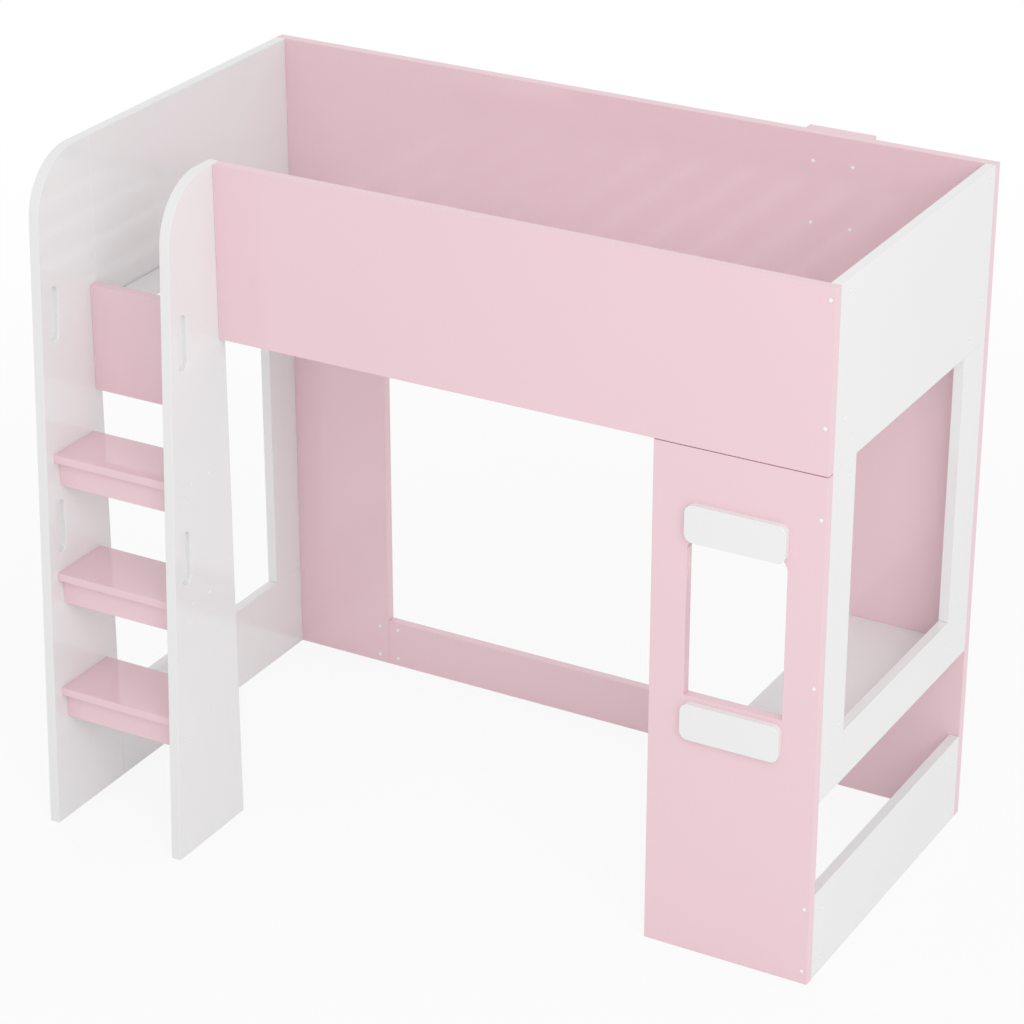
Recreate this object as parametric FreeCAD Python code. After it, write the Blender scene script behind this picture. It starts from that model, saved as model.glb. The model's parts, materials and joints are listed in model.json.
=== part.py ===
# Loft bed of lacquered boards, with a ladder at its left end and a shelf desk at its right end.
#
# Millimetres, +Z up. Pieces are laid out from the left end (x = 0), the front face (y = 0) and the
# floor (z = 0), and moved at the end so that the origin is the middle of the footprint, on the floor.
import FreeCAD, Part
import os
from collections import namedtuple
from math import cos, pi, sin, tan

# Frame
LENGTH = 2088.0
DEPTH = 960.0
HEIGHT = 1837.0
BOARD = 28.0
EDGE_ROUND = 1.5
GUARD_HEIGHT = 463.0
POST_WIDTH = 128.0
END_RAIL_HEIGHT = 243.0
MID_RAIL_BOTTOM = 500.0
MID_RAIL_HEIGHT = 138.0
LEFT_COLUMN_WIDTH = 325.0
RIGHT_COLUMN_WIDTH = 360.0
BACK_RAIL_HEIGHT = 138.0

# Window panel, its two bars and the gap over it: the window's top is WINDOW_DROP below the guard
PANEL_WIDTH = 449.0
PANEL_GAP = 2.5
WINDOW_WIDTH = 262.0
WINDOW_HEIGHT = 428.5
WINDOW_DROP = 230.0
WINDOW_CORNER = 36.0
BAR_LENGTH = 264.0
BAR_HEIGHT = 97.5
BAR_THICKNESS = 18.0
BAR_CORNER = 22.0
HEAD_BAR_LAP = 9.5
SILL_BAR_DROP = 13.0
BAR_SCREW_SPACING = 160.0

# Ladder: its sides reach LADDER_FOOT in front of the bed at the floor and LADDER_HEAD at the top
LADDER_WIDTH = 418.0
LADDER_FOOT = 270.0
LADDER_HEAD = 191.0
LADDER_CORNER = 166.0
FIRST_STEP = 386.0
STEP_PITCH = 330.0
STEP_NAMES = ("lower", "middle", "upper")
TREAD_THICKNESS = 22.0
TREAD_SETBACK = 31.0
TREAD_BACK_GAP = 19.0
TREAD_SCREW_INSET = 47.0
TREAD_SCREW_SPACING = 75.0
RISER_HEIGHT = 72.0
RISER_THICKNESS = 16.0
RISER_SETBACK = 21.0
ENTRY_RAIL_RISE = 71.0
ENTRY_RAIL_HEIGHT = 290.0
ENTRY_RAIL_FIX = 50.0
POCKET_LENGTH = 144.0
POCKET_WIDTH = 36.0
POCKET_DEPTH = 14.0
POCKET_INSET = 53.0
POCKET_DROP = 415.5
POCKET_SPACING = 579.0

# Bed base: slats on steel angle ledgers
SLAT_COUNT = 14
SLAT_WIDTH = 80.0
SLAT_THICKNESS = 18.0
SLAT_DROP = 2.0
SLAT_END_GAP = 1.0
SLAT_RUN_GAP = 2.0
LEDGER_LEG = 30.0
LEDGER_WALL = 3.0
LEDGER_SCREW_STEP = 3
LEDGER_SCREW_RISE = 12.0

# Shelf desk
DESK_DEPTH = 318.0
DESK_THICKNESS = 22.0
CLEAT_SIZE = 28.0
CLEAT_SETBACK = 40.0
CLEAT_SCREW_INSET = 40.0
CLEAT_SCREW_SHIFT = 30.0

# Steel plates behind the joints, and the board behind the upper back board
PLATE_THICKNESS = 4.0
PLATE_WIDTH = 36.0
PLATE_EDGE = 9.0
PLATE_END = 26.0
GUARD_PLATE_SCREWS = 44.0
MID_PLATE_SCREW_ABOVE = 31.0
MID_PLATE_SCREW_BELOW = 89.0
MID_PLATE_LIFT = 3.0
BACK_PLATE_WIDTH = 112.0
BACK_PLATE_MARGIN = 8.0
BACK_PLATE_SCREW_HALF = 30.0
BACK_PLATE_SCREW_EDGE = 23.0
WALL_PLATE_WIDTH = 182.0
WALL_PLATE_HEIGHT = 313.0
WALL_PLATE_THICKNESS = 28.0
WALL_PLATE_FROM_RIGHT = 433.0
WALL_PLATE_SCREW_ACROSS = 109.0
WALL_PLATE_SCREW_UP = 165.0

# Heights of the corner fixings, from the top or the foot of the board that they hold
GUARD_FIX_TOP = 30.0
GUARD_FIX_FOOT = 119.0
POST_FIX_TOP = 112.0
POST_FIX_FOOT = 184.0
MID_RAIL_FIX_TOP = 39.0
RAIL_BOLT_TOP = 61.0
RAIL_BOLT_FOOT = 36.0
RAIL_SCREW_TOP = 30.0
LADDER_GUARD_FIX = 45.0

# Fasteners: a joint or plate screw bites that far into the piece behind a board
TOLERANCE = 0.01
FIT = 0.3
TIP_ROOM = 1.0
CAP_RADIUS = 5.5
CAP_PROUD = 1.0
CAP_STEM_RADIUS = 4.0
CAP_STEM_LENGTH = 2.5
CAP_RECESS = 3.0
EDGE_SCREW_HEAD = 5.0
EDGE_SCREW_HEAD_HEIGHT = 4.0
EDGE_SCREW_SHANK = 3.0
EDGE_SCREW_LENGTH = 70.0
JOINT_SCREW_HEAD = 4.5
JOINT_SCREW_HEAD_HEIGHT = 3.5
JOINT_SCREW_SHANK = 2.5
JOINT_SCREW_BITE = 13.0
PLATE_SCREW_BITE = 3.5
BASE_SCREW_HEAD = 4.5
BASE_SCREW_HEAD_HEIGHT = 2.5
BASE_SCREW_SHANK = 2.0
BASE_SCREW_LENGTH = 16.0
SOCKET_RADIUS = 2.3
SOCKET_DEPTH = 1.6
BOLT_TAIL = 9.0
STUD_BITE = 18.0
BARREL_RADIUS = 5.0
BARREL_LENGTH = 20.0
BARREL_INSET_FRONT = 49.0
BARREL_INSET_BACK = 33.0
DOWEL_RADIUS = 4.0
DOWEL_LENGTH = 40.0
PANEL_DOWEL_INSET = 80.0
POST_DOWEL_INSET = 32.0
END_DOWEL_INSET = 100.0
RAIL_DOWEL_INSET = 60.0

Screw = namedtuple("Screw", "group head_radius head_height recess shank_radius length")
EDGE_SCREW = Screw("edge_screws", EDGE_SCREW_HEAD, EDGE_SCREW_HEAD_HEIGHT, CAP_RECESS, EDGE_SCREW_SHANK,
                   EDGE_SCREW_LENGTH)
JOINT_SCREW = Screw("joint_screws", JOINT_SCREW_HEAD, JOINT_SCREW_HEAD_HEIGHT, CAP_RECESS, JOINT_SCREW_SHANK,
                    BOARD + JOINT_SCREW_BITE)
PLATE_SCREW = JOINT_SCREW._replace(group="plate_screws", length=BOARD + PLATE_SCREW_BITE)
BASE_SCREW = Screw("base_screws", BASE_SCREW_HEAD, BASE_SCREW_HEAD_HEIGHT, -BASE_SCREW_HEAD_HEIGHT,
                   BASE_SCREW_SHANK, BASE_SCREW_LENGTH)

Vector = FreeCAD.Vector
RIGHT = Vector(1, 0, 0)
LEFT = Vector(-1, 0, 0)
BACKWARD = Vector(0, 1, 0)
FORWARD = Vector(0, -1, 0)
UP = Vector(0, 0, 1)

# Spans shared by several boards
LEFT_X = (0.0, BOARD)
RIGHT_X = (LENGTH - BOARD, LENGTH)
FRONT_Y = (0.0, BOARD)
BACK_Y = (DEPTH - BOARD, DEPTH)
INNER_Y = (BOARD, DEPTH - BOARD)
REAR_POST_Y = (DEPTH - BOARD - POST_WIDTH, DEPTH - BOARD)
FRONT_POST_Y = (BOARD, BOARD + POST_WIDTH)
GUARD_Z = (HEIGHT - GUARD_HEIGHT, HEIGHT)
END_RAIL_Z = (0.0, END_RAIL_HEIGHT)
MID_RAIL_Z = (MID_RAIL_BOTTOM, MID_RAIL_BOTTOM + MID_RAIL_HEIGHT)
RIGHT_POST_Z = (MID_RAIL_Z[1], GUARD_Z[0])
LEFT_POST_Z = (END_RAIL_Z[1], GUARD_Z[0])
ENTRY_RAIL_TOP = GUARD_Z[0] + ENTRY_RAIL_RISE
ENTRY_RAIL_Z = (ENTRY_RAIL_TOP - ENTRY_RAIL_HEIGHT, ENTRY_RAIL_TOP)
INNER_SIDE_X = (LADDER_WIDTH - BOARD, LADDER_WIDTH)
STEP_X = (BOARD, LADDER_WIDTH - BOARD)
PANEL_X = (LENGTH - PANEL_WIDTH, LENGTH)
PANEL_Z = (0.0, GUARD_Z[0] - PANEL_GAP)
WINDOW_TOP = GUARD_Z[0] - WINDOW_DROP
WINDOW_Z = (WINDOW_TOP - WINDOW_HEIGHT, WINDOW_TOP)
POCKET_HEIGHTS = (HEIGHT - POCKET_DROP - POCKET_SPACING, HEIGHT - POCKET_DROP)
LEFT_COLUMN_X = (0.0, LEFT_COLUMN_WIDTH)
RIGHT_COLUMN_X = (LENGTH - RIGHT_COLUMN_WIDTH, LENGTH)
DESK_X = (RIGHT_X[0] - DESK_DEPTH, RIGHT_X[0])
DESK_Z = (MID_RAIL_BOTTOM, MID_RAIL_BOTTOM + DESK_THICKNESS)
SLAT_Z = (GUARD_Z[0] - SLAT_DROP, GUARD_Z[0] - SLAT_DROP + SLAT_THICKNESS)
SLAT_PITCH = (LENGTH - 2 * BOARD - PLATE_THICKNESS - 2 * SLAT_RUN_GAP - SLAT_WIDTH) / (SLAT_COUNT - 1)

pieces = {}
groups = {}
holes = {}


def middle(span):
    """Middle of a (low, high) span."""
    return (span[0] + span[1]) / 2


def box(x, y, z):
    """Plain block over three (low, high) spans."""
    return Part.makeBox(x[1] - x[0], y[1] - y[0], z[1] - z[0], Vector(x[0], y[0], z[0]))


def eased(shape, edges):
    """Shape with the given edges rounded by EDGE_ROUND."""
    return shape.makeFillet(EDGE_ROUND, edges)


def board(name, x, y, z):
    """Adds a board with all its edges eased."""
    block = box(x, y, z)
    pieces[name] = eased(block, block.Edges)


def outline(corners):
    """Closed wire through corners, each given as (point, radius that rounds it)."""
    bends = []
    for index, (point, radius) in enumerate(corners):
        to_last = (corners[index - 1][0] - point).normalize()
        to_next = (corners[(index + 1) % len(corners)][0] - point).normalize()
        half = to_last.getAngle(to_next) / 2
        inward = (to_last + to_next).normalize()
        reach = radius / tan(half)
        crest = point + inward * (radius / sin(half) - radius)
        bends.append((point + to_last * reach, crest, point + to_next * reach))
    edges = []
    for index, (start, crest, end) in enumerate(bends):
        if corners[index][1] > 0:
            edges.append(Part.Arc(start, crest, end).toShape())
        following = bends[(index + 1) % len(bends)][0]
        if end.distanceToPoint(following) > TOLERANCE:
            edges.append(Part.makeLine(end, following))
    return Part.Wire(edges)


def upright_rectangle(x, y, z, lower, upper):
    """Wire in the plane at depth y, with its lower and its upper corners rounded by those radii."""
    points = [Vector(x[0], y, z[0]), Vector(x[1], y, z[0]), Vector(x[1], y, z[1]), Vector(x[0], y, z[1])]
    return outline(list(zip(points, (lower, lower, upper, upper))))


def edges_at(shape, axis, level):
    """Edges of the shape that lie in the plane where the given coordinate has the given value."""
    return [edge for edge in shape.Edges if abs(edge.CenterOfMass[axis] - level) < TOLERANCE]


def rod(start, axis, radius, near, far):
    """Cylinder along the axis, from depth near to depth far below the start."""
    return Part.makeCylinder(radius, far - near, start + axis * near, axis)


def add(group, solid):
    """Adds a solid to a group of like fasteners."""
    groups.setdefault(group, []).append(solid)


def bore(names, cutter):
    """Notes a hole to be cut in the named pieces."""
    for name in names:
        holes.setdefault(name, []).append(cutter)


def cap(start, axis):
    """Cover cap on a face, with a stem in the hole below it."""
    dome = Part.makeCone(CAP_RADIUS, CAP_RADIUS - CAP_PROUD, CAP_PROUD, start, axis * -1)
    add("cover_caps", dome.fuse(rod(start, axis, CAP_STEM_RADIUS, 0, CAP_STEM_LENGTH)))


def socket(start, axis):
    """Six-sided driver socket, sunk along the axis from the top of a head."""
    turns = [index * pi / 3 for index in range(7)]
    corners = [Vector(SOCKET_RADIUS * cos(turn), SOCKET_RADIUS * sin(turn), 0) for turn in turns]
    prism = Part.Face(Part.makePolygon(corners)).extrude(UP * SOCKET_DEPTH)
    prism.Placement = FreeCAD.Placement(start, FreeCAD.Rotation(UP, axis))
    return prism


def headed(screw, start, axis, length):
    """Head and shank of a fastener that starts at a face, and the hole that clears them."""
    seat = screw.recess + screw.head_height
    head = rod(start, axis, screw.head_radius, screw.recess, seat)
    shank = rod(start, axis, screw.shank_radius, seat, length)
    hole = rod(start, axis, screw.shank_radius + FIT, seat, length + TIP_ROOM)
    if seat > 0:
        hole = hole.fuse(rod(start, axis, screw.head_radius + FIT, -TIP_ROOM, seat))
    return head.fuse(shank).cut(socket(start + axis * screw.recess, axis)), hole


def drive(screw, start, axis, names, capped=False):
    """Drives a screw through the named pieces, from a point on the face of the first."""
    solid, hole = headed(screw, start, axis, screw.length)
    add(screw.group, solid)
    bore(names, hole)
    if capped:
        cap(start, axis)


def dowel(centre, axis, names):
    """Dowel half in each of two pieces, centred on their joint."""
    half = DOWEL_LENGTH / 2
    add("dowels", rod(centre, axis, DOWEL_RADIUS, -half, half))
    bore(names, rod(centre, axis, DOWEL_RADIUS + FIT, -half - TIP_ROOM, half + TIP_ROOM))


def barrel(shank_hole, y, z, name):
    """Barrel nut across a right end board, drilled for its bolt and capped on the outer face."""
    face = Vector(LENGTH, y, z)
    depth = (BOARD - BARREL_LENGTH) / 2
    nut = rod(face, LEFT, BARREL_RADIUS, depth, depth + BARREL_LENGTH)
    add("barrel_nuts", nut.cut(shank_hole))
    bore([name], rod(face, LEFT, BARREL_RADIUS + FIT, -TIP_ROOM, depth + BARREL_LENGTH))
    cap(face, LEFT)


def corner_bolt(z, axis, inset, outer, name):
    """Bolt through the outer board into a barrel nut in a right end board."""
    face_y = 0.0 if axis.y > 0 else DEPTH
    start = Vector(middle(RIGHT_X), face_y, z)
    solid, hole = headed(EDGE_SCREW, start, axis, BOARD + inset + BOLT_TAIL)
    add("corner_bolts", solid)
    bore([outer, name], hole)
    cap(start, axis)
    barrel(hole, face_y + axis.y * (BOARD + inset), z, name)


def corner_stud(z, name):
    """Stud from a blind hole in the window panel into a barrel nut in a right end board."""
    start = Vector(middle(RIGHT_X), BOARD, z)
    far = BARREL_INSET_FRONT + BOLT_TAIL
    stud = rod(start, BACKWARD, EDGE_SCREW.shank_radius, -STUD_BITE, far)
    hole = rod(start, BACKWARD, EDGE_SCREW.shank_radius + FIT, -STUD_BITE - TIP_ROOM, far + TIP_ROOM)
    add("corner_studs", stud)
    bore(["window_panel", name], hole)
    barrel(hole, BOARD + BARREL_INSET_FRONT, z, name)


def ladder_front(z):
    """Depth of the ladder's sloping front edge at a height."""
    return -LADDER_FOOT + (LADDER_FOOT - LADDER_HEAD) * z / HEIGHT


def pocket(x, z, margin, depth):
    """Outline of a finger pocket at one depth below a face, parallel to the ladder's front edge."""
    along = Vector(0, LADDER_FOOT - LADDER_HEAD, HEIGHT).normalize()
    across = Vector(0, along.z, -along.y)
    centre = Vector(x - depth, ladder_front(z), z) + across * POCKET_INSET
    half_long = along * (POCKET_LENGTH / 2 + margin)
    half_wide = across * (POCKET_WIDTH / 2 + margin)
    points = [centre - half_long - half_wide, centre - half_long + half_wide,
              centre + half_long + half_wide, centre + half_long - half_wide]
    return outline([(point, POCKET_WIDTH / 2 + margin) for point in points])


def ladder_side(name, x):
    """Full-height side with a sloping front edge, a rounded top corner and two finger pockets."""
    profile = outline([
        (Vector(x[0], BOARD, 0), 0), (Vector(x[0], BOARD, HEIGHT), 0),
        (Vector(x[0], -LADDER_HEAD, HEIGHT), LADDER_CORNER), (Vector(x[0], -LADDER_FOOT, 0), 0)])
    side = Part.Face(profile).extrude(RIGHT * BOARD)
    side = eased(side, edges_at(side, 0, x[0]) + edges_at(side, 0, x[1]))
    for z in POCKET_HEIGHTS:
        well = Part.Face(pocket(x[1], z, 0, 0)).extrude(LEFT * POCKET_DEPTH)
        rim = Part.makeLoft([pocket(x[1], z, EDGE_ROUND, 0), pocket(x[1], z, 0, EDGE_ROUND)], True, True)
        side = side.cut(well).cut(rim)
    pieces[name] = side


def window_panel():
    """Panel under the right end of the front guard, with a window rounded at its upper corners."""
    centre = middle(PANEL_X)
    opening = (centre - WINDOW_WIDTH / 2, centre + WINDOW_WIDTH / 2)
    rim = Part.Face(upright_rectangle(opening, 0, WINDOW_Z, 0, WINDOW_CORNER))
    panel = box(PANEL_X, FRONT_Y, PANEL_Z).cut(rim.extrude(BACKWARD * BOARD))
    pieces["window_panel"] = eased(panel, edges_at(panel, 1, 0) + edges_at(panel, 1, BOARD))


def window_bar(name, bottom):
    """Rounded bar on the front of the window panel, screwed on from behind."""
    centre = middle(PANEL_X)
    span = (centre - BAR_LENGTH / 2, centre + BAR_LENGTH / 2)
    rise = (bottom, bottom + BAR_HEIGHT)
    face = Part.Face(upright_rectangle(span, -BAR_THICKNESS, rise, BAR_CORNER, BAR_CORNER))
    bar = face.extrude(BACKWARD * BAR_THICKNESS)
    pieces[name] = eased(bar, edges_at(bar, 1, -BAR_THICKNESS))
    for side in (-1, 1):
        start = Vector(centre + side * BAR_SCREW_SPACING / 2, BOARD, middle(rise))
        drive(JOINT_SCREW, start, FORWARD, ["window_panel", name])


def front():
    """Guard, window panel with its bars, and the dowels between guard and panel."""
    board("front_guard", (LADDER_WIDTH, LENGTH), FRONT_Y, GUARD_Z)
    window_panel()
    window_bar("window_head_bar", WINDOW_Z[1] - HEAD_BAR_LAP)
    window_bar("window_sill_bar", WINDOW_Z[0] - SILL_BAR_DROP - BAR_HEIGHT)
    seam = middle((PANEL_Z[1], GUARD_Z[0]))
    for x in (PANEL_X[0] + PANEL_DOWEL_INSET, PANEL_X[1] - PANEL_DOWEL_INSET):
        dowel(Vector(x, middle(FRONT_Y), seam), UP, ["window_panel", "front_guard"])


def step(name, top):
    """Tread and riser between the ladder sides, screwed through both of them."""
    tread_y = (ladder_front(top) + TREAD_SETBACK, -TREAD_BACK_GAP)
    tread_z = (top - TREAD_THICKNESS, top)
    riser_y = (tread_y[0] + RISER_SETBACK, tread_y[0] + RISER_SETBACK + RISER_THICKNESS)
    riser_z = (tread_z[0] - RISER_HEIGHT, tread_z[0])
    board(name + "_tread", STEP_X, tread_y, tread_z)
    board(name + "_riser", STEP_X, riser_y, riser_z)
    first = tread_y[0] + TREAD_SCREW_INSET
    fixings = [("_tread", first, middle(tread_z)), ("_tread", first + TREAD_SCREW_SPACING, middle(tread_z)),
               ("_riser", middle(riser_y), middle(riser_z))]
    for kind, y, z in fixings:
        drive(EDGE_SCREW, Vector(0, y, z), RIGHT, ["ladder_outer_side", name + kind], True)
        drive(EDGE_SCREW, Vector(LADDER_WIDTH, y, z), LEFT, ["ladder_inner_side", name + kind], True)


def ladder():
    """Two sides, three steps and the entry rail."""
    ladder_side("ladder_outer_side", LEFT_X)
    ladder_side("ladder_inner_side", INNER_SIDE_X)
    for index, name in enumerate(STEP_NAMES):
        step(name, FIRST_STEP + index * STEP_PITCH)
    board("entry_rail", STEP_X, FRONT_Y, ENTRY_RAIL_Z)
    y = middle(FRONT_Y)
    for z in (ENTRY_RAIL_Z[0] + ENTRY_RAIL_FIX, ENTRY_RAIL_Z[1] - ENTRY_RAIL_FIX):
        drive(EDGE_SCREW, Vector(0, y, z), RIGHT, ["ladder_outer_side", "entry_rail"], True)
        dowel(Vector(STEP_X[1], y, z), RIGHT, ["entry_rail", "ladder_inner_side"])
    for z in (ENTRY_RAIL_Z[1] + LADDER_GUARD_FIX, HEIGHT - LADDER_GUARD_FIX):
        drive(EDGE_SCREW, Vector(STEP_X[1], y, z), RIGHT, ["ladder_inner_side", "front_guard"], True)


def left_end():
    """Guard, rear post and bottom rail behind the outer ladder side, dowelled together."""
    board("left_end_guard", LEFT_X, INNER_Y, GUARD_Z)
    board("left_rear_post", LEFT_X, REAR_POST_Y, LEFT_POST_Z)
    board("left_bottom_rail", LEFT_X, INNER_Y, END_RAIL_Z)
    x = middle(LEFT_X)
    for y in (REAR_POST_Y[0] + POST_DOWEL_INSET, REAR_POST_Y[1] - POST_DOWEL_INSET):
        dowel(Vector(x, y, GUARD_Z[0]), UP, ["left_end_guard", "left_rear_post"])
        dowel(Vector(x, y, END_RAIL_Z[1]), UP, ["left_rear_post", "left_bottom_rail"])
    for z in (GUARD_Z[0] + END_DOWEL_INSET, HEIGHT - END_DOWEL_INSET):
        dowel(Vector(x, BOARD, z), BACKWARD, ["ladder_outer_side", "left_end_guard"])
    for z in (RAIL_DOWEL_INSET, END_RAIL_HEIGHT - RAIL_DOWEL_INSET):
        dowel(Vector(x, BOARD, z), BACKWARD, ["ladder_outer_side", "left_bottom_rail"])


def joint_plate(name, y, z, screws):
    """Plate on the inner face of the right end, screwed through the boards on both sides of a seam."""
    board(name, (RIGHT_X[0] - PLATE_THICKNESS, RIGHT_X[0]), y, z)
    for board_name, height in screws:
        drive(PLATE_SCREW, Vector(LENGTH, middle(y), height), LEFT, [board_name, name], True)


def right_end():
    """Guard, two posts, mid rail and bottom rail, with a plate behind each post joint."""
    board("right_end_guard", RIGHT_X, INNER_Y, GUARD_Z)
    board("right_front_post", RIGHT_X, FRONT_POST_Y, RIGHT_POST_Z)
    board("right_rear_post", RIGHT_X, REAR_POST_Y, RIGHT_POST_Z)
    board("right_mid_rail", RIGHT_X, INNER_Y, MID_RAIL_Z)
    board("right_bottom_rail", RIGHT_X, INNER_Y, END_RAIL_Z)
    low, high = RIGHT_POST_Z
    guard_z = (high - GUARD_PLATE_SCREWS - PLATE_END, high + GUARD_PLATE_SCREWS + PLATE_END)
    mid_z = (DESK_Z[1] + MID_PLATE_LIFT, low + MID_PLATE_SCREW_ABOVE + PLATE_END)
    plate_y = {"front": (FRONT_POST_Y[1] - PLATE_EDGE - PLATE_WIDTH, FRONT_POST_Y[1] - PLATE_EDGE),
               "rear": (REAR_POST_Y[0] + PLATE_EDGE, REAR_POST_Y[0] + PLATE_EDGE + PLATE_WIDTH)}
    for place, y in plate_y.items():
        post = "right_" + place + "_post"
        joint_plate(place + "_guard_plate", y, guard_z,
                    [("right_end_guard", high + GUARD_PLATE_SCREWS), (post, high - GUARD_PLATE_SCREWS)])
        joint_plate(place + "_mid_plate", y, mid_z,
                    [(post, low + MID_PLATE_SCREW_ABOVE), ("right_mid_rail", low - MID_PLATE_SCREW_BELOW)])


def back():
    """Upper board, two columns and bottom rail, with plates behind."""
    board("back_upper_board", (0, LENGTH), BACK_Y, GUARD_Z)
    board("back_left_column", LEFT_COLUMN_X, BACK_Y, (0, GUARD_Z[0]))
    board("back_right_column", RIGHT_COLUMN_X, BACK_Y, (0, GUARD_Z[0]))
    board("back_bottom_rail", (LEFT_COLUMN_X[1], RIGHT_COLUMN_X[0]), BACK_Y, (0, BACK_RAIL_HEIGHT))
    plate_z = (BACK_PLATE_MARGIN, BACK_RAIL_HEIGHT - BACK_PLATE_MARGIN)
    for side, seam, column_x in (("left", LEFT_COLUMN_X[1], LEFT_COLUMN_X),
                                 ("right", RIGHT_COLUMN_X[0], RIGHT_COLUMN_X)):
        column = "back_" + side + "_column"
        plate = "back_" + side + "_plate"
        board(plate, (seam - BACK_PLATE_WIDTH / 2, seam + BACK_PLATE_WIDTH / 2),
              (DEPTH, DEPTH + PLATE_THICKNESS), plate_z)
        for shift in (-BACK_PLATE_SCREW_HALF, BACK_PLATE_SCREW_HALF):
            x = seam + shift
            held = column if column_x[0] < x < column_x[1] else "back_bottom_rail"
            for z in (BACK_PLATE_SCREW_EDGE, BACK_RAIL_HEIGHT - BACK_PLATE_SCREW_EDGE):
                drive(PLATE_SCREW, Vector(x, BACK_Y[0], z), BACKWARD, [held, plate], True)
        for x in (column_x[0] + PANEL_DOWEL_INSET, column_x[1] - PANEL_DOWEL_INSET):
            dowel(Vector(x, middle(BACK_Y), GUARD_Z[0]), UP, [column, "back_upper_board"])


def wall_plate():
    """Plate behind the upper back board, flush with its top edge."""
    centre = LENGTH - WALL_PLATE_FROM_RIGHT
    span = (centre - WALL_PLATE_WIDTH / 2, centre + WALL_PLATE_WIDTH / 2)
    rise = (HEIGHT - WALL_PLATE_HEIGHT, HEIGHT)
    board("back_wall_plate", span, (DEPTH, DEPTH + WALL_PLATE_THICKNESS), rise)
    for across in (-WALL_PLATE_SCREW_ACROSS / 2, WALL_PLATE_SCREW_ACROSS / 2):
        for up in (-WALL_PLATE_SCREW_UP / 2, WALL_PLATE_SCREW_UP / 2):
            start = Vector(centre + across, BACK_Y[0], middle(rise) + up)
            drive(JOINT_SCREW, start, BACKWARD, ["back_upper_board", "back_wall_plate"], True)


def corner_fixings():
    """Bolts, studs and screws that hold the end boards to the front and back boards."""
    guard_heights = (HEIGHT - GUARD_FIX_TOP, GUARD_Z[0] + GUARD_FIX_FOOT)
    post_heights = (GUARD_Z[0] - POST_FIX_TOP, RIGHT_POST_Z[0] + POST_FIX_FOOT)
    mid_height = MID_RAIL_Z[1] - MID_RAIL_FIX_TOP
    rail_heights = (END_RAIL_HEIGHT - RAIL_BOLT_TOP, RAIL_BOLT_FOOT)
    right, left = middle(RIGHT_X), middle(LEFT_X)

    for z in guard_heights:
        corner_bolt(z, BACKWARD, BARREL_INSET_FRONT, "front_guard", "right_end_guard")
        corner_bolt(z, FORWARD, BARREL_INSET_BACK, "back_upper_board", "right_end_guard")
        drive(EDGE_SCREW, Vector(left, DEPTH, z), FORWARD, ["back_upper_board", "left_end_guard"], True)
    for z in post_heights:
        drive(EDGE_SCREW, Vector(right, 0, z), BACKWARD, ["window_panel", "right_front_post"], True)
        drive(EDGE_SCREW, Vector(right, DEPTH, z), FORWARD, ["back_right_column", "right_rear_post"], True)
        drive(EDGE_SCREW, Vector(left, DEPTH, z), FORWARD, ["back_left_column", "left_rear_post"], True)
    corner_stud(mid_height, "right_mid_rail")
    corner_bolt(mid_height, FORWARD, BARREL_INSET_BACK, "back_right_column", "right_mid_rail")
    corner_stud(rail_heights[0], "right_bottom_rail")
    corner_bolt(rail_heights[1], BACKWARD, BARREL_INSET_FRONT, "window_panel", "right_bottom_rail")
    drive(EDGE_SCREW, Vector(right, 0, END_RAIL_HEIGHT - RAIL_SCREW_TOP), BACKWARD,
          ["window_panel", "right_bottom_rail"], True)
    for z in rail_heights:
        corner_bolt(z, FORWARD, BARREL_INSET_BACK, "back_right_column", "right_bottom_rail")
        drive(EDGE_SCREW, Vector(left, DEPTH, z), FORWARD, ["back_left_column", "left_bottom_rail"], True)


def desk():
    """Shelf desk on two cleats, between the window panel and the back column."""
    board("desk_shelf", DESK_X, INNER_Y, DESK_Z)
    cleat_x = (DESK_X[0] + CLEAT_SETBACK, DESK_X[1])
    cleat_z = (DESK_Z[0] - CLEAT_SIZE, DESK_Z[0])
    places = (("desk_front_cleat", (BOARD, BOARD + CLEAT_SIZE), FORWARD, "window_panel"),
              ("desk_back_cleat", (BACK_Y[0] - CLEAT_SIZE, BACK_Y[0]), BACKWARD, "back_right_column"))
    for name, y, outward, wall in places:
        board(name, cleat_x, y, cleat_z)
        face = y[1] if outward.y < 0 else y[0]
        for x in (cleat_x[0] + CLEAT_SCREW_INSET, cleat_x[1] - CLEAT_SCREW_INSET - CLEAT_SCREW_SHIFT):
            below = Vector(x + CLEAT_SCREW_SHIFT, middle(y), cleat_z[0])
            drive(JOINT_SCREW, Vector(x, face, middle(cleat_z)), outward, [name, wall])
            drive(JOINT_SCREW, below, UP, [name, "desk_shelf"])


def ledger(name, wall_y, inward):
    """Steel angle along a long side: one leg on the boards, the other under the slats."""
    run = (BOARD + SLAT_RUN_GAP, LENGTH - BOARD - SLAT_RUN_GAP)
    bottom = SLAT_Z[0] - LEDGER_WALL
    thin = sorted((wall_y, wall_y + inward * LEDGER_WALL))
    wide = sorted((wall_y, wall_y + inward * LEDGER_LEG))
    upright = box(run, thin, (bottom, bottom + LEDGER_LEG))
    pieces[name] = upright.fuse(box(run, wide, (bottom, SLAT_Z[0]))).removeSplitter()


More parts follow.
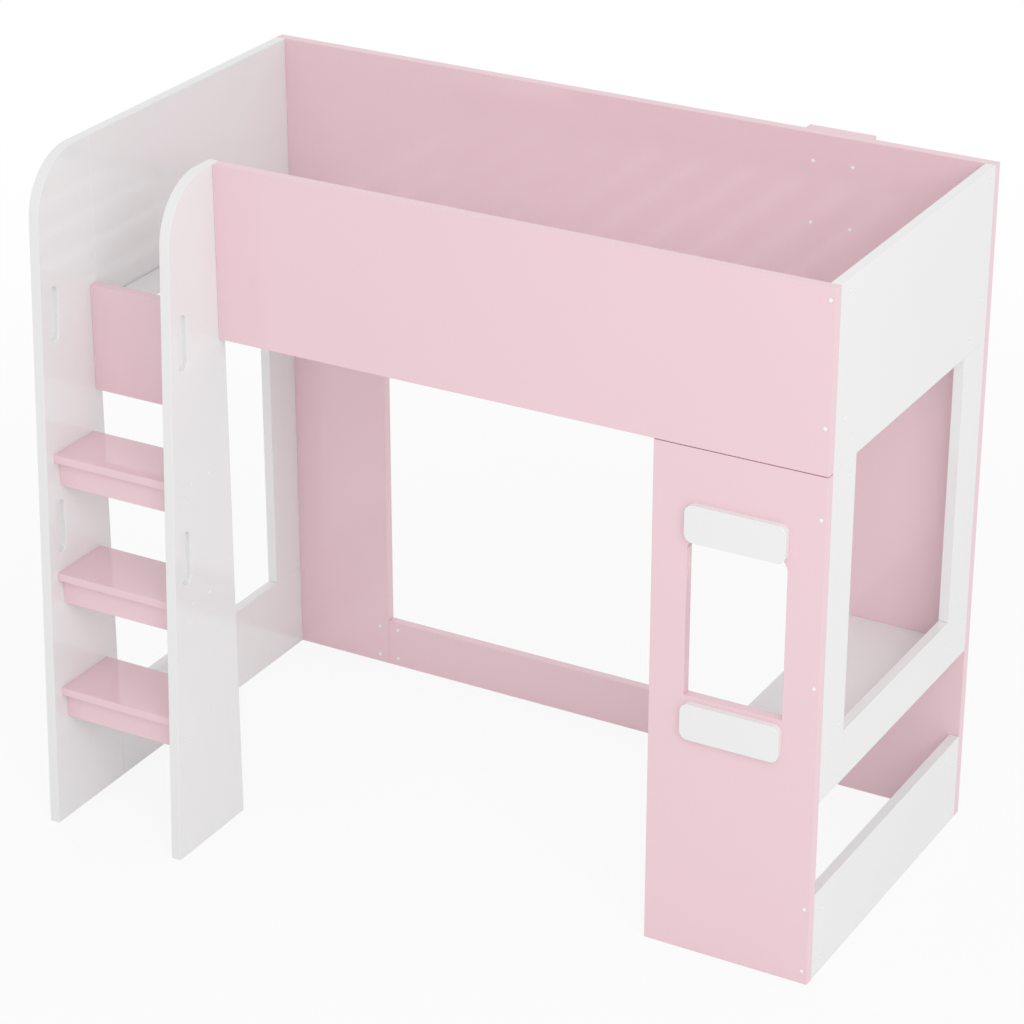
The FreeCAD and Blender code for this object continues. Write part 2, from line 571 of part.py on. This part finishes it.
def bed_base():
    """Two ledgers and the slats across them, screwed from below."""
    ledger("front_ledger", INNER_Y[0], 1)
    ledger("back_ledger", INNER_Y[1], -1)
    slat_y = (INNER_Y[0] + LEDGER_WALL + SLAT_END_GAP, INNER_Y[1] - LEDGER_WALL - SLAT_END_GAP)
    under = SLAT_Z[0] - LEDGER_WALL
    screw_y = ((INNER_Y[0] + LEDGER_LEG / 2 + LEDGER_WALL, "front_ledger"),
               (INNER_Y[1] - LEDGER_LEG / 2 - LEDGER_WALL, "back_ledger"))
    for index in range(SLAT_COUNT):
        x0 = BOARD + SLAT_RUN_GAP + index * SLAT_PITCH
        name = f"slat_{index + 1:02d}"
        board(name, (x0, x0 + SLAT_WIDTH), slat_y, SLAT_Z)
        for y, rail in screw_y:
            drive(BASE_SCREW, Vector(x0 + SLAT_WIDTH / 2, y, under), UP, [rail, name])
    for index in range(0, SLAT_COUNT - 1, LEDGER_SCREW_STEP):
        x = BOARD + SLAT_RUN_GAP + (index + 0.5) * SLAT_PITCH + SLAT_WIDTH / 2
        z = GUARD_Z[0] + LEDGER_SCREW_RISE
        front_wall = "entry_rail" if x < STEP_X[1] else "front_guard"
        places = ((INNER_Y[0] + LEDGER_WALL, FORWARD, ["front_ledger", front_wall]),
                  (INNER_Y[1] - LEDGER_WALL, BACKWARD, ["back_ledger", "back_upper_board"]))
        for y, axis, names in places:
            drive(BASE_SCREW, Vector(x, y, z), axis, names)


def export():
    """Cuts the holes, moves everything to the footprint's middle and writes one file per node."""
    back_face = DEPTH + max(WALL_PLATE_THICKNESS, PLATE_THICKNESS)
    shift = Vector(-LENGTH / 2, (LADDER_FOOT - back_face) / 2, 0)
    nodes = {name: shape.cut(holes[name]) if name in holes else shape for name, shape in pieces.items()}
    nodes.update({name: Part.makeCompound(solids) for name, solids in groups.items()})
    os.makedirs("parts", exist_ok=True)
    for name, shape in nodes.items():
        shape.translate(shift)
        shape.exportStep("parts/" + name + ".step")
    print(len(nodes), "nodes", sum(len(shape.Solids) for shape in nodes.values()), "solids")


front()
ladder()
left_end()
right_end()
back()
wall_plate()
corner_fixings()
desk()
bed_base()
export()
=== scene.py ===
"""Loft bed of lacquered boards: finishes, cover caps and studio, laid out as a Blender add-on."""

import json

import bpy
import numpy as np
from bpy.props import FloatProperty, FloatVectorProperty, IntProperty, PointerProperty
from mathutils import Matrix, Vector

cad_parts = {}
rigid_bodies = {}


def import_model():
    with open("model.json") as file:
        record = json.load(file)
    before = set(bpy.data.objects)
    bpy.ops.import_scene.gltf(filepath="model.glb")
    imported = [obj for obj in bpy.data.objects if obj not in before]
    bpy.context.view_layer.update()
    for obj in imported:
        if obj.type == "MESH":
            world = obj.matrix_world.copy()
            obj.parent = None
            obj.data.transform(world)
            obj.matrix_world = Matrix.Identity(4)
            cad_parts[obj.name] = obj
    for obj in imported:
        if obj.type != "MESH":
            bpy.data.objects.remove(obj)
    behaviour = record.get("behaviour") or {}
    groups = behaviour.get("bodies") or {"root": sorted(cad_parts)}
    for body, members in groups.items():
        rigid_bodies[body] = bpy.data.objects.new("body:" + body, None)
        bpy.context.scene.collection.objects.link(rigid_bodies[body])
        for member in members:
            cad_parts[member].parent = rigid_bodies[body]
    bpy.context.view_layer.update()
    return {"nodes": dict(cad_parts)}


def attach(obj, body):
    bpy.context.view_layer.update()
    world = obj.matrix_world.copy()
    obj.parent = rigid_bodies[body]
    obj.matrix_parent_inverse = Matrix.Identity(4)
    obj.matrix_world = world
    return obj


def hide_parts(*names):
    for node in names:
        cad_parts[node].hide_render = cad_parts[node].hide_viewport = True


bl_info = {
    "name": "Loft bed",
    "version": (1, 0, 0),
    "blender": (4, 5, 0),
    "location": "View3D > Sidebar > Loft Bed",
    "description": "Finishes, cover caps and studio of a loft bed with a ladder and a shelf desk",
    "category": "Object",
}

for startup_object in list(bpy.data.objects):
    bpy.data.objects.remove(startup_object)
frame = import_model()


def colour(name, description, default):
    """Colour property in linear light."""
    return FloatVectorProperty(name=name, description=description, default=default,
                               subtype="COLOR", min=0, max=1)


def length(name, description, default):
    """Length property in metres."""
    return FloatProperty(name=name, description=description, default=default,
                         min=0, unit="LENGTH", precision=4)


def share(name, description, default):
    """Property that runs from 0 to 1."""
    return FloatProperty(name=name, description=description, default=default,
                         min=0, max=1, subtype="FACTOR")


def place(name, description, default):
    """Point property in metres."""
    return FloatVectorProperty(name=name, description=description, default=default,
                               subtype="TRANSLATION", unit="LENGTH")


def power(name, description, default):
    """Power property of a lamp, in watts."""
    return FloatProperty(name=name, description=description, default=default,
                         min=0, subtype="POWER")


class LacquerSettings(bpy.types.PropertyGroup):
    """Gloss lacquer of the boards."""

    pink: colour("Pink", "Lacquer of the guard, panel, back, treads and risers", (0.90, 0.65, 0.71))
    white: colour("White", "Lacquer of the ladder sides, ends, bars, desk and slats",
                  (0.90, 0.90, 0.90))
    tone_change: share("Tone change", "How far the tone wanders to each side, in clouds", 0.015)
    cloud_width: length("Cloud width", "Width of those clouds", 0.5)
    roughness: share("Roughness", "Roughness of clean lacquer", 0.05)
    handling: share("Handling", "Roughness that hands and wiping add in patches", 0.06)
    patch_width: length("Patch width", "Width of those patches", 0.16)
    ior: FloatProperty(name="IOR", description="Refractive index of the lacquer", default=1.55,
                       min=1, max=3)
    peel_width: length("Ripple width", "Width of the faint ripples that spraying leaves", 0.009)
    peel_depth: length("Ripple depth", "Depth of those ripples", 0.000012)


class FittingSettings(bpy.types.PropertyGroup):
    """Caps, steel and wooden fittings."""

    cap: colour("Cap", "Moulded plastic of the cover caps", (0.97, 0.97, 0.97))
    cap_grain: length("Cap grain", "Width of the fine matt grain of the caps", 0.0006)
    cap_segments: IntProperty(name="Cap segments", description="Sides of a cap's rim", default=20,
                              min=8, max=64)
    zinc: colour("Zinc", "Plating of screws, bolts, nuts, plates and ledgers", (0.60, 0.61, 0.63))
    spangle_width: length("Spangle width", "Width of the crystals in the plating", 0.006)
    scratch_width: length("Scratch width", "Width of the scratches on the plating", 0.0008)
    beech: colour("Beech", "Bare wood of the dowels", (0.62, 0.42, 0.24))
    fleck_width: length("Fleck width", "Width of the flecks in the wood", 0.0025)


class StudioSettings(bpy.types.PropertyGroup):
    """Floor, light and camera."""

    floor: colour("Floor", "Paint of the floor", (0.90, 0.90, 0.90))
    floor_radius: length("Floor radius", "Radius of the floor", 14.0)
    glow: share("Floor glow", "Share of plain white in the floor near the bed", 0.86)
    shadow_reach: length("Shadow reach", "Way out to where the floor begins to turn white", 1.6)
    white_reach: length("White reach", "Way out to where the floor is plain white", 6.0)
    walls: FloatProperty(name="Walls", description="Strength of the light from all round",
                         default=0.76, min=0)
    lamp: power("Softbox", "Power of the softbox in front of the bed", 142)
    lamp_spot: place("Softbox place", "Place of the softbox's middle", (4.8, -4.8, 5.1))
    lamp_width: length("Softbox width", "Width and height of the softbox", 4.0)
    eye: place("Eye", "Place of the camera", (3.873, -6.849, 4.651))
    aim: place("Aim", "Point in the middle of the picture", (0.010, 0.004, 0.894))
    lens: FloatProperty(name="Lens", description="Focal length of the camera", default=119.7,
                        min=1, subtype="DISTANCE_CAMERA")


# Colour sockets of the Mix node, by number, because its kinds of data share their names.
MIX_FACTOR, MIX_A, MIX_B, MIX_RESULT = 0, 6, 7, 2


class Wire:
    """Output of a node. Arithmetic on it adds Math nodes."""

    def __init__(self, graph, socket):
        self.graph = graph
        self.socket = socket

    def math(self, operation, other):
        """Math node of this output and another output or number."""
        return self.graph.node("ShaderNodeMath", {"operation": operation}, {0: self, 1: other})

    def __add__(self, other):
        return self.math("ADD", other)

    __radd__ = __add__

    def __mul__(self, other):
        return self.math("MULTIPLY", other)

    __rmul__ = __mul__


class Graph:
    """Node tree of a material or world."""

    def __init__(self, owner):
        owner.use_nodes = True
        self.tree = owner.node_tree
        self.tree.nodes.clear()

    def node(self, kind, settings, sockets, output=0):
        """Adds a node, its settings, then its sockets' values or links, and gives an output."""
        made = self.tree.nodes.new(kind)
        for name, value in settings.items():
            setattr(made, name, value)
        for name, value in sockets.items():
            if isinstance(value, Wire):
                self.tree.links.new(value.socket, made.inputs[name])
            else:
                made.inputs[name].default_value = value
        return Wire(self, made.outputs[output]) if made.outputs else None

    def spot(self):
        """Object coordinates."""
        return self.node("ShaderNodeTexCoord", {}, {}, "Object")

    def noise(self, width, detail=2.0, stretch=(1, 1, 1)):
        """Noise with spots of the given width, drawn out along an axis by a stretch below 1."""
        spot = self.node("ShaderNodeMapping", {}, {"Vector": self.spot(), "Scale": stretch})
        return self.node("ShaderNodeTexNoise", {},
                         {"Vector": spot, "Scale": 1 / width, "Detail": detail})

    def tones(self, level, tone, low, high):
        """Colour that goes from low to high times the tone as the level goes from 0 to 1."""
        return self.node("ShaderNodeMix", {"data_type": "RGBA"},
                         {MIX_FACTOR: level, MIX_A: shade(tone, low), MIX_B: shade(tone, high)},
                         MIX_RESULT)

    def ripple(self, height, depth):
        """Normal of a surface with the given relief."""
        return self.node("ShaderNodeBump", {},
                         {"Height": height, "Strength": 1.0, "Distance": depth})

    def surface(self, sockets):
        """Principled surface as the material's result."""
        shader = self.node("ShaderNodeBsdfPrincipled", {}, sockets)
        self.node("ShaderNodeOutputMaterial", {}, {"Surface": shader})


def shade(tone, amount=1.0):
    """Colour with every channel times the amount, as RGBA."""
    return (*(channel * amount for channel in tone), 1)


def between(level, low, high):
    """Number that goes from low to high as the level goes from 0 to 1."""
    return level * (high - low) + low


def lacquer(name, tone, settings):
    """Sprayed gloss lacquer: faint cloudy tone, wiped patches in the gloss and a fine ripple."""
    material = bpy.data.materials.new(name)
    graph = Graph(material)
    clouds = graph.noise(settings.cloud_width, detail=3)
    patches = graph.noise(settings.patch_width, detail=4)
    peel = graph.noise(settings.peel_width, detail=1)
    change = settings.tone_change
    graph.surface({
        "Base Color": graph.tones(clouds, tone, low=1 - change, high=1 + change),
        "Roughness": patches * settings.handling + settings.roughness,
        "IOR": settings.ior,
        "Normal": graph.ripple(peel, settings.peel_depth),
    })
    return material


def moulded(name, settings):
    """Moulded plastic with a fine matt grain and faint clouds."""
    material = bpy.data.materials.new(name)
    graph = Graph(material)
    grain = graph.noise(settings.cap_grain)
    clouds = graph.noise(width=0.02)
    graph.surface({
        "Base Color": graph.tones(clouds, settings.cap, low=0.98, high=1.0),
        "Roughness": between(grain, low=0.25, high=0.40),
        "Normal": graph.ripple(grain, depth=0.00001),
    })
    return material


def zinc(name, settings):
    """Zinc plating: crystals that differ in tone and gloss, under fine scratches along X."""
    material = bpy.data.materials.new(name)
    graph = Graph(material)
    crystals = graph.node("ShaderNodeTexVoronoi", {},
                          {"Vector": graph.spot(), "Scale": 1 / settings.spangle_width}, "Color")
    level = graph.node("ShaderNodeSeparateColor", {}, {"Color": crystals}, "Red")
    scratches = graph.noise(settings.scratch_width, detail=3, stretch=(0.05, 1, 1))
    scratch_roughness = 0.1
    graph.surface({
        "Base Color": graph.tones(level, settings.zinc, low=0.88, high=1.08),
        "Metallic": 1.0,
        "Roughness": between(level, low=0.22, high=0.38) + scratches * scratch_roughness,
        "Normal": graph.ripple(scratches, depth=0.000008),
    })
    return material


def beech(name, settings):
    """Bare beech: short brown flecks along Z."""
    material = bpy.data.materials.new(name)
    graph = Graph(material)
    flecks = graph.noise(settings.fleck_width, detail=4, stretch=(1, 1, 0.08))
    graph.surface({
        "Base Color": graph.tones(flecks, settings.beech, low=0.7, high=1.2),
        "Roughness": between(flecks, low=0.5, high=0.7),
        "Normal": graph.ripple(flecks, depth=0.00006),
    })
    return material


def dress(slot, material):
    """Gives the material to every CAD node of a slot."""
    dressed = 0
    for node in frame["nodes"].values():
        for socket in node.material_slots:
            if socket.material.name == slot:
                socket.material = material
                dressed += 1
    if not dressed:
        raise RuntimeError("no node has the slot " + slot)


def mesh_object(name, points, faces, material, smooth=True):
    """Object at the origin with the given mesh."""
    mesh = bpy.data.meshes.new(name)
    mesh.from_pydata(points.tolist(), [], faces.tolist())
    mesh.polygons.foreach_set("use_smooth", np.full(len(faces), smooth))
    mesh.materials.append(material)
    made = bpy.data.objects.new(name, mesh)
    bpy.context.scene.collection.objects.link(made)
    return made


def solids_of(node):
    """Points of a CAD node and the number of the solid that each belongs to.

    Points at one place share a label, and a triangle's corners take the lowest label among them,
    until no label changes: then each solid has one label.
    """
    mesh = node.data
    points = np.empty(len(mesh.vertices) * 3)
    mesh.vertices.foreach_get("co", points)
    points = points.reshape(-1, 3)
    mesh.calc_loop_triangles()
    corners = np.empty(len(mesh.loop_triangles) * 3, int)
    mesh.loop_triangles.foreach_get("vertices", corners)
    spot = np.unique(np.round(points, 6), axis=0, return_inverse=True)[1].ravel()
    triangles = spot[corners].reshape(-1, 3)
    label = np.arange(spot.max() + 1)
    settled = False
    while not settled:
        lowest = label.copy()
        np.minimum.at(lowest, triangles.ravel(), np.repeat(label[triangles].min(axis=1), 3))
        settled = np.array_equal(lowest, label)
        label = lowest[lowest]
    return points, np.unique(label[spot], return_inverse=True)[1].ravel()


def cap_places(node):
    """Seat, outward axis, radius, rise and stem of each cap of the CAD node.

    A cap's box is shortest along its axis. Its wide points lie at its outer end, which gives the
    axis its sign.
    """
    rim_share = 0.99
    points, solid = solids_of(node)
    count = solid.max() + 1
    low = np.full((count, 3), np.inf)
    high = np.full((count, 3), -np.inf)
    np.minimum.at(low, solid, points)
    np.maximum.at(high, solid, points)
    middle, extent = (low + high) / 2, high - low
    along = np.eye(3)[extent.argmin(axis=1)]
    radius = extent.max(axis=1) / 2
    offset = points - middle[solid]
    height = (offset * along[solid]).sum(axis=1)
    reach = np.linalg.norm(offset - height[:, None] * along[solid], axis=1)
    rim = reach > rim_share * radius[solid]
    level = np.bincount(solid, height * rim) / np.bincount(solid, rim)
    outward = along * np.sign(level)[:, None]
    seat = middle + along * level[:, None]
    half = extent.min(axis=1) / 2
    return seat, outward, radius, half - np.abs(level), half + np.abs(level)


def band_faces(rings, segments):
    """Faces between neighbouring rings of points, each ring closed on itself."""
    ring = np.arange(rings - 1)[:, None] * segments
    here = np.arange(segments)
    following = (here + 1) % segments
    corners = [ring + here, ring + segments + here, ring + segments + following, ring + following]
    return np.stack(corners, -1).reshape(-1, 4)


def turned_caps(node, segments, crown_rings=8, stem_share=0.72):
    """Points and faces of the cover caps.

    Two parameters give a cap: the turn about its axis, and the way along a profile that starts at
    the crown, falls to the rim as one minus the cube of the radius, goes under the rim to the stem,
    and down the stem to its foot.
    """
    seat, outward, radius, rise, stem = cap_places(node)
    across = np.roll(outward, 1, axis=1)
    third = np.cross(outward, across)
    bow = np.linspace(0, 1, crown_rings)
    profile_radius = np.concatenate([bow, [stem_share, stem_share, 0]])
    profile_rise = np.concatenate([1 - bow ** 3, [0, 0, 0]])
    profile_stem = np.concatenate([bow * 0, [0, 1, 1]])
    turn = np.arange(segments) * 2 * np.pi / segments
    ring = np.cos(turn)[:, None] * across[:, None] + np.sin(turn)[:, None] * third[:, None]
    out = radius[:, None] * profile_radius
    up = rise[:, None] * profile_rise - stem[:, None] * profile_stem
    level = seat[:, None] + up[..., None] * outward[:, None]
    points = level[:, :, None] + out[:, :, None, None] * ring[:, None]
    caps, rings = out.shape
    first = np.arange(caps)[:, None, None] * rings * segments
    faces = first + band_faces(rings, segments)
    return points.reshape(-1, 3), faces.reshape(-1, 4)


def disc(radius, rings=40, segments=96, pinhole=0.001):
    """Points and faces of a flat disc: radius times the square of the way out, and an even turn."""
    out = radius * np.linspace(pinhole, 1, rings) ** 2
    turn = np.arange(segments) * 2 * np.pi / segments
    flat = np.zeros((rings, segments))
    points = np.stack([np.outer(out, np.cos(turn)), np.outer(out, np.sin(turn)), flat], -1)
    return points.reshape(-1, 3), band_faces(rings, segments)


def seen_rays(graph):
    """One for rays from the camera, a reflection or a clear piece, nought between matt surfaces."""
    kinds = [graph.node("ShaderNodeLightPath", {}, {}, kind)
             for kind in ("Is Camera Ray", "Is Glossy Ray", "Is Transmission Ray")]
    return kinds[0] + kinds[1] + kinds[2]


def floor_paint(settings):
    """Pale floor that keeps the bed's shadow and turns plain white further out."""
    material = bpy.data.materials.new("floor")
    graph = Graph(material)
    way = graph.node("ShaderNodeVectorMath", {"operation": "LENGTH"}, {0: graph.spot()}, "Value")
    glow = graph.node("ShaderNodeMapRange", {"interpolation_type": "SMOOTHSTEP"},
                      {"Value": way, "From Min": settings.shadow_reach,
                       "From Max": settings.white_reach, "To Min": settings.glow, "To Max": 1.0})
    paint = graph.node("ShaderNodeBsdfDiffuse", {}, {"Color": shade(settings.floor)})
    white = graph.node("ShaderNodeEmission", {}, {"Strength": 1.0})
    mixed = graph.node("ShaderNodeMixShader", {}, {0: seen_rays(graph) * glow, 1: paint, 2: white})
    graph.node("ShaderNodeOutputMaterial", {}, {"Surface": mixed})
    material.cycles.emission_sampling = "NONE"
    return material


def light_all_round(settings):
    """World that shows as plain white, and lights evenly from all round."""
    world = bpy.data.worlds.new("studio")
    graph = Graph(world)
    level = seen_rays(graph) * (1 - settings.walls) + settings.walls
    sky = graph.node("ShaderNodeBackground", {}, {"Color": (1, 1, 1, 1), "Strength": level})
    graph.node("ShaderNodeOutputWorld", {}, {"Surface": sky})
    bpy.context.scene.world = world


def turned_to(item, spot, aim):
    """Puts an object at a spot, facing the aim."""
    item.location = spot
    item.rotation_euler = (Vector(aim) - Vector(spot)).to_track_quat("-Z", "Y").to_euler()
    bpy.context.scene.collection.objects.link(item)


def softbox(settings):
    """Square lamp that faces the point the camera looks at."""
    lamp = bpy.data.lights.new("softbox", "AREA")
    lamp.size = settings.lamp_width
    lamp.energy = settings.lamp
    turned_to(bpy.data.objects.new("softbox", lamp), settings.lamp_spot, settings.aim)


class LOFTBED_OT_pink_boards(bpy.types.Operator):
    """Lacquers the guard, window panel, back, treads, risers and entry rail pink"""

    bl_idname = "loftbed.pink_boards"
    bl_label = "Pink boards"

    def execute(self, context):
        settings = context.scene.loftbed_lacquer
        dress("pink_lacquer", lacquer("pink_gloss", settings.pink, settings))
        return {"FINISHED"}


class LOFTBED_OT_white_boards(bpy.types.Operator):
    """Lacquers the ladder sides, ends, window bars, desk and slats white"""

    bl_idname = "loftbed.white_boards"
    bl_label = "White boards"

    def execute(self, context):
        settings = context.scene.loftbed_lacquer
        dress("white_lacquer", lacquer("white_gloss", settings.white, settings))
        return {"FINISHED"}


class LOFTBED_OT_fittings(bpy.types.Operator):
    """Plates the steel fittings with zinc, and leaves the dowels as bare beech"""

    bl_idname = "loftbed.fittings"
    bl_label = "Steel fittings and dowels"

    def execute(self, context):
        settings = context.scene.loftbed_fittings
        dress("zinc_steel", zinc("zinc_plating", settings))
        dress("dowel_wood", beech("bare_beech", settings))
        return {"FINISHED"}


class LOFTBED_OT_cover_caps(bpy.types.Operator):
    """Turns a domed cap for every screw and bolt that has one"""

    bl_idname = "loftbed.cover_caps"
    bl_label = "Cover caps"

    def execute(self, context):
        settings = context.scene.loftbed_fittings
        points, faces = turned_caps(frame["nodes"]["cover_caps"], settings.cap_segments)
        plastic = moulded("cap_plastic_moulded", settings)
        caps = mesh_object("domed_caps", points, faces, plastic)
        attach(caps, "root")
        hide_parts("cover_caps")
        return {"FINISHED"}


class LOFTBED_OT_studio(bpy.types.Operator):
    """Lays the floor and sets the lights and the camera"""

    bl_idname = "loftbed.studio"
    bl_label = "Studio"

    def execute(self, context):
        settings = context.scene.loftbed_studio
        points, faces = disc(settings.floor_radius)
        mesh_object("studio_floor", points, faces, floor_paint(settings), smooth=False)
        light_all_round(settings)
        softbox(settings)
        camera = bpy.data.cameras.new("camera")
        camera.lens = settings.lens
        view = bpy.data.objects.new("camera", camera)
        turned_to(view, settings.eye, settings.aim)
        context.scene.camera = view
        context.scene.view_settings.view_transform = "Standard"
        return {"FINISHED"}


class LOFTBED_PT_pieces(bpy.types.Panel):
    """Pieces of the loft bed and its studio"""

    bl_idname = "LOFTBED_PT_pieces"
    bl_label = "Loft bed"
    bl_space_type = "VIEW_3D"
    bl_region_type = "UI"
    bl_category = "Loft Bed"

    def draw(self, context):
        for group, kind in SETTINGS.items():
            box = self.layout.box()
            for name in kind.__annotations__:
                box.prop(getattr(context.scene, group), name)
        for operator in OPERATORS:
            self.layout.operator(operator.bl_idname)


SETTINGS = {
    "loftbed_lacquer": LacquerSettings,
    "loftbed_fittings": FittingSettings,
    "loftbed_studio": StudioSettings,
}
OPERATORS = (
    LOFTBED_OT_pink_boards,
    LOFTBED_OT_white_boards,
    LOFTBED_OT_fittings,
    LOFTBED_OT_cover_caps,
    LOFTBED_OT_studio,
)


def register():
    for kind in (*SETTINGS.values(), *OPERATORS, LOFTBED_PT_pieces):
        bpy.utils.register_class(kind)
    for name, kind in SETTINGS.items():
        setattr(bpy.types.Scene, name, PointerProperty(type=kind))


def unregister():
    for name in SETTINGS:
        delattr(bpy.types.Scene, name)
    for kind in (LOFTBED_PT_pieces, *reversed(OPERATORS), *SETTINGS.values()):
        bpy.utils.unregister_class(kind)


def main():
    """Makes everything in order."""
    register()
    bpy.ops.loftbed.pink_boards()
    bpy.ops.loftbed.white_boards()
    bpy.ops.loftbed.fittings()
    bpy.ops.loftbed.cover_caps()
    bpy.ops.loftbed.studio()


if __name__ == "__main__":
    main()
